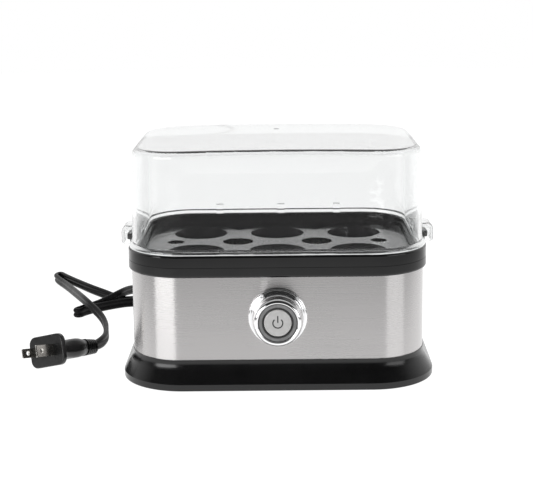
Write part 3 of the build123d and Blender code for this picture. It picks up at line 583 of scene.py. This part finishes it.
# ---------------------------------------------------------------- stage and light
FLOOR_RADIUS = 2.5
PAPER_GLOW = 0.86  # what the camera's side of the paper adds to the light that falls on it
PAPER_NEAR, PAPER_FAR = 0.26, 0.66  # where the paper starts and ends fading in reflections
PAPER_FAINT = 0.03  # how white it still is past that
PAPER_BEHIND = (-0.1, 0.35)  # behind the object it comes back between these Y


def make_floor():
    """A wide pale disc. The camera sees it white, and the object's shadow stays on it."""
    mesh = bpy.data.meshes.new("floor")
    rings, spokes = 8, 48
    points, faces = [(0.0, 0.0, 0.0)], []
    for r in range(1, rings + 1):
        for s in range(spokes):
            a = 2 * math.pi * s / spokes
            reach = FLOOR_RADIUS * r / rings
            points.append((reach * math.cos(a), reach * math.sin(a), 0.0))
    for s in range(spokes):
        n = (s + 1) % spokes
        faces.append((0, 1 + s, 1 + n))
        for r in range(1, rings):
            a, b = 1 + (r - 1) * spokes, 1 + r * spokes
            faces.append((a + s, b + s, b + n, a + n))
    mesh.from_pydata(points, [], faces)
    mesh.update()
    floor = link("floor", mesh)
    made = Finish("floor_paper", (0.16, 0.16, 0.16), 0.9)
    cloud = made.spread(made.noise(0.2, 3.0), 0.0, 1.0)
    made.colours(cloud, (0.155, 0.155, 0.155), (0.165, 0.165, 0.165))
    made.bump(made.noise(0.002, 3.0), 0.1, 0.0001)
    made.set("Specular IOR Level", 0.0)
    made.set("Emission Color", (1.0, 1.0, 1.0, 1.0))
    path, seen, straight = made.seen_straight()
    mirror = made.math("MAXIMUM", seen, path.outputs["Is Glossy Ray"])
    # In reflections the white paper fades out a little way from the object.
    place = made.node("ShaderNodeTexCoord")
    away = made.node("ShaderNodeVectorMath", operation="LENGTH")
    made.join(place.outputs["Object"], away.inputs[0])
    distance = away.outputs["Value"]
    near = made.spread(distance, 1.0, PAPER_FAINT, PAPER_NEAR, PAPER_FAR, "SMOOTHSTEP")
    split = made.node("ShaderNodeSeparateXYZ")
    made.join(place.outputs["Object"], split.inputs[0])
    behind = made.spread(split.outputs["Y"], 0.0, 1.0, *PAPER_BEHIND, "SMOOTHSTEP")
    paper = made.math("MAXIMUM", near, behind)
    mirrored = made.math("MULTIPLY", mirror, paper)
    glow = made.math("MAXIMUM", made.math("MULTIPLY", straight, PAPER_GLOW), mirrored)
    made.join(glow, made.shader.inputs["Emission Strength"])
    floor.data.materials.append(made.material)


# How bright the world is in a direction, by that direction's Y.
WORLD_LEVELS = ((-0.28, 0.03), (0.0, 0.55), (0.3, 0.85), (0.6, 1.0))


def make_world():
    """White behind the object and dark on the camera's side, as in a studio."""
    world = bpy.data.worlds.new("studio")
    world.use_nodes = True
    world.node_tree.nodes.clear()
    made = Nodes(world.node_tree)
    place = made.node("ShaderNodeTexCoord")
    split = made.node("ShaderNodeSeparateXYZ")
    made.join(place.outputs["Generated"], split.inputs[0])
    halved = made.math("MULTIPLY", split.outputs["Y"], 0.5)
    away = made.node("ShaderNodeValToRGB")
    ramp = away.color_ramp.elements
    for _ in range(len(WORLD_LEVELS) - len(ramp)):
        ramp.new(0.5)
    for stop, (y, level) in zip(ramp, WORLD_LEVELS):
        stop.position = 0.5 + 0.5 * y
        stop.color = (level, level, level, 1.0)
    made.join(made.math("ADD", halved, 0.5), away.inputs["Fac"])
    # Seen straight, or through the clear lid, the world is plain white.
    _, _, straight = made.seen_straight()
    strength = made.node("ShaderNodeMix", data_type="FLOAT")
    made.join(straight, strength.inputs[0])
    made.join(away.outputs["Color"], strength.inputs[2])
    strength.inputs[3].default_value = 1.0
    back = made.node("ShaderNodeBackground")
    back.inputs["Color"].default_value = (1.0, 1.0, 1.0, 1.0)
    made.join(strength.outputs[0], back.inputs["Strength"])
    out = made.node("ShaderNodeOutputWorld")
    made.join(back.outputs[0], out.inputs["Surface"])
    scene.world = world


def softbox(name, place, target, width, height, level, mirrored):
    """An area lamp whose face has that level, where 1 is white. mirrored: reflections show it."""
    data = bpy.data.lights.new(name, "AREA")
    data.shape = "RECTANGLE"
    data.size, data.size_y = width, height
    data.energy = level * math.pi * width * height
    lamp = link(name, data)
    lamp.location = place
    lamp.rotation_mode = "QUATERNION"
    lamp.rotation_quaternion = (Vector(target) - Vector(place)).to_track_quat("-Z", "Y")
    lamp.visible_camera = lamp.visible_transmission = False
    lamp.visible_glossy = mirrored


def round_about(azimuth, distance, height):
    """A place that far from the object's axis. Azimuth 0 is the front, and 90 the right."""
    a = math.radians(azimuth)
    return (math.sin(a) * distance, -math.cos(a) * distance, height)


make_floor()
make_world()
# The two at the sides make the light strips on the steel. The other two fill the shadows.
softbox("softbox_left", round_about(-43.0, 1.25, 0.28), (0.0, 0.0, 0.2), 0.94, 0.5, 5.0, True)
softbox("softbox_right", round_about(53.0, 1.25, 0.28), (0.0, 0.0, 0.2), 0.86, 0.5, 2.2, True)
softbox("softbox_front", round_about(0.0, 1.6, 0.9), (0.0, 0.0, 0.1), 1.0, 0.8, 5.0, False)
softbox("softbox_top", (0.0, 0.25, 1.5), (0.0, 0.0, 0.0), 1.2, 1.2, 1.6, False)

scene.view_settings.view_transform = "Standard"
